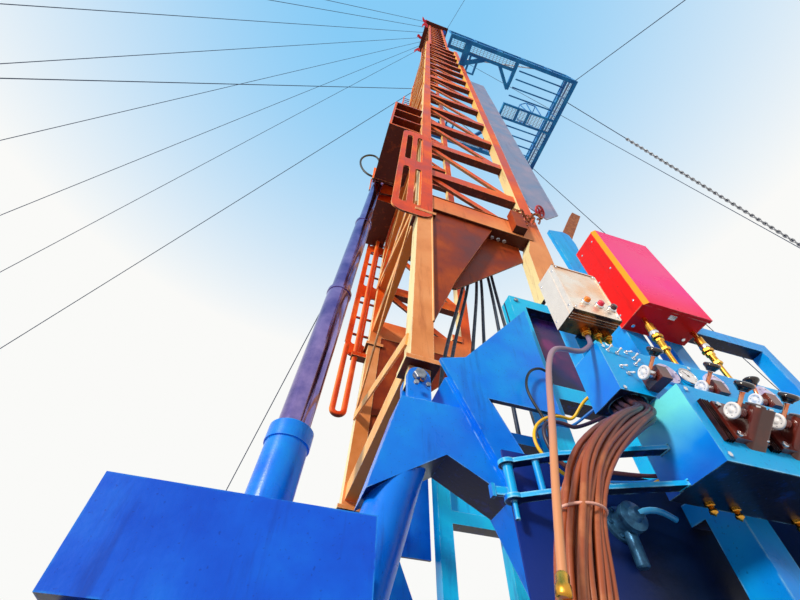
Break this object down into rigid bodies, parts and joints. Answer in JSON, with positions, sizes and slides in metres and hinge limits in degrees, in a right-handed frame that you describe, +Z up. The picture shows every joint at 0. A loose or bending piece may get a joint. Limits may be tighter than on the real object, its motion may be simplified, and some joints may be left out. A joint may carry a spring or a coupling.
{
  "type": "workover rig",
  "caption": "Leaning lattice mast in two sections on an A-frame base, with a raising ram, racking board, guy lines and a lever console.",
  "frame": {"origin": "centre of the flat underside of the base frame's middle cross member, on the ground", "axes": "+Z up, +X along the rig from the ram side towards the well, +Y away from the console side"},
  "size_m": [34.3, 34.3, 34.3764],
  "materials": {
    "blue_paint": "gloss enamel, dusty",
    "orange_paint": "weathered enamel",
    "grey_paint": "faded enamel",
    "red_paint": "gloss enamel",
    "chromed_steel": "polished",
    "bare_steel": "galvanised and weathered",
    "stainless": "brushed",
    "black_plastic": "moulded",
    "black_rubber": "dusty hose",
    "brass_fittings": "tarnished",
    "pale_caps": "faded enamel",
    "brown_iron": "painted casting"
  },
  "bodies": {
    "rig": {"a_frame_cross_tubes": "blue_paint", "a_frame_far": "blue_paint", "a_frame_near": "blue_paint", "base_cross_members": "blue_paint", "base_rails": "blue_paint", "board_fingers": "blue_paint", "board_frame": "blue_paint", "board_guys": "bare_steel", "board_hangers": "orange_paint", "board_rail": "blue_paint", "box_conduit": "black_rubber", "button_box": "stainless", "cable_hank": "black_rubber", "cheek_plates": "blue_paint", "console_fittings": "brass_fittings", "console_housing": "blue_paint", "console_stand": "blue_paint", "crown_frame": "orange_paint", "crown_guys": "bare_steel", "crown_sheaves": "bare_steel", "guide_plate": "grey_paint", "guy_anchors": "bare_steel", "hose_bracket": "blue_paint", "hose_manifolds": "blue_paint", "knee_plates": "orange_paint", "ladder": "orange_paint", "lower_frame_far": "orange_paint", "lower_frame_near": "orange_paint", "mast_hoses": "black_rubber", "mast_pins": "bare_steel", "portal_gussets": "orange_paint", "post_frames": "blue_paint", "pressure_gauge": "pale_caps", "push_buttons": "black_plastic", "ram_barrel": "blue_paint", "ram_foot_bracket": "blue_paint", "ram_head_bracket": "orange_paint", "ram_rod": "chromed_steel", "ram_stage_one": "chromed_steel", "ram_stage_two": "chromed_steel", "rear_diagonals": "orange_paint", "rear_ties": "orange_paint", "red_cabinet": "red_paint", "section_guys": "bare_steel", "section_locks": "orange_paint", "side_tank": "blue_paint", "stand_post": "brown_iron", "standpipe": "orange_paint", "tank_stand": "blue_paint", "upper_frame_far": "orange_paint", "upper_frame_near": "orange_paint", "upper_rear_ties": "orange_paint", "valve_bodies": "brown_iron", "valve_caps": "pale_caps"},
    "lever_1_arm": {"lever_1": "black_plastic"},
    "lever_2_arm": {"lever_2": "black_plastic"},
    "lever_3_arm": {"lever_3": "black_plastic"},
    "lever_4_arm": {"lever_4": "black_plastic"},
    "lever_5_arm": {"lever_5": "black_plastic"},
    "lever_6_arm": {"lever_6": "black_plastic"}
  },
  "joints": [
    {"name": "lever_1_tilt", "type": "hinge", "parent": "rig", "child": "lever_1_arm", "pos_m": [-0.208, -1.74, 2.386], "axis": [1, 0, 0], "range_deg": [-18, 18]},
    {"name": "lever_2_tilt", "type": "hinge", "parent": "rig", "child": "lever_2_arm", "pos_m": [-0.019, -1.74, 2.386], "axis": [1, 0, 0], "range_deg": [-18, 18]},
    {"name": "lever_3_tilt", "type": "hinge", "parent": "rig", "child": "lever_3_arm", "pos_m": [-0.097, -1.812, 2.235], "axis": [1, 0, 0], "range_deg": [-18, 18]},
    {"name": "lever_4_tilt", "type": "hinge", "parent": "rig", "child": "lever_4_arm", "pos_m": [0.036, -1.812, 2.235], "axis": [1, 0, 0], "range_deg": [-18, 18]},
    {"name": "lever_5_tilt", "type": "hinge", "parent": "rig", "child": "lever_5_arm", "pos_m": [0.17, -1.74, 2.389], "axis": [1, 0, 0], "range_deg": [-18, 18]},
    {"name": "lever_6_tilt", "type": "hinge", "parent": "rig", "child": "lever_6_arm", "pos_m": [0.17, -1.812, 2.235], "axis": [1, 0, 0], "range_deg": [-18, 18]}
  ]
}
